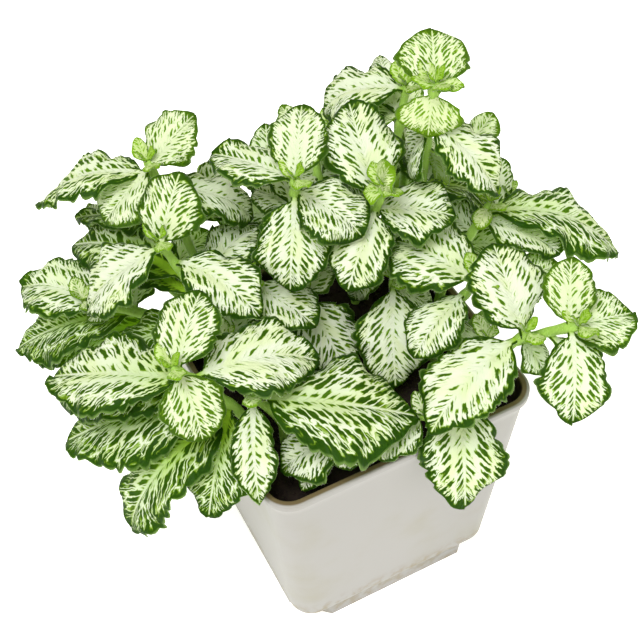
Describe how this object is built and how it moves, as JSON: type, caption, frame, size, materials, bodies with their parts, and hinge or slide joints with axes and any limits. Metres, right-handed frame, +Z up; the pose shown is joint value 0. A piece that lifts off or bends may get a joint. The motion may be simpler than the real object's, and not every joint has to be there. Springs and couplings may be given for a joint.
{
  "type": "potted nerve plant",
  "caption": "Nerve plant with white-netted green leaves in a square pale grey nursery pot.",
  "frame": {"origin": "centre of the underside of the pot's foot", "axes": "+Z up, the pot's walls face along X and Y"},
  "size_m": [0.1809, 0.1474, 0.1756],
  "materials": {
    "pot_plastic": "satin",
    "potting_soil": "matte",
    "leaf": "satin"
  },
  "bodies": {
    "root": {"pot": "pot_plastic", "soil": "potting_soil", "shoot_left_back": "leaf", "shoot_left_middle": "leaf", "shoot_left_far": "leaf", "shoot_front_left": "leaf", "shoot_front_middle": "leaf", "shoot_inner_left": "leaf", "shoot_centre_left": "leaf", "shoot_centre_back": "leaf", "shoot_centre": "leaf", "shoot_centre_front": "leaf", "shoot_centre_right": "leaf", "shoot_back_right_arch": "leaf", "shoot_right_tall": "leaf", "shoot_right_front": "leaf", "shoot_right_inner": "leaf", "shoot_right_middle": "leaf", "shoot_right_far": "leaf", "shoot_right_corner": "leaf", "shoot_front_right": "leaf", "shoot_right_back": "leaf", "shoot_front_edge_right": "leaf", "shoot_front_edge": "leaf", "shoot_back_left": "leaf", "shoot_back_middle": "leaf", "shoot_back_centre": "leaf", "shoot_back_right": "leaf", "shoot_back_far_right": "leaf", "shoot_side_right": "leaf", "shoot_side_far_right": "leaf", "shoot_back_far_left": "leaf"}
  },
  "joints": []
}
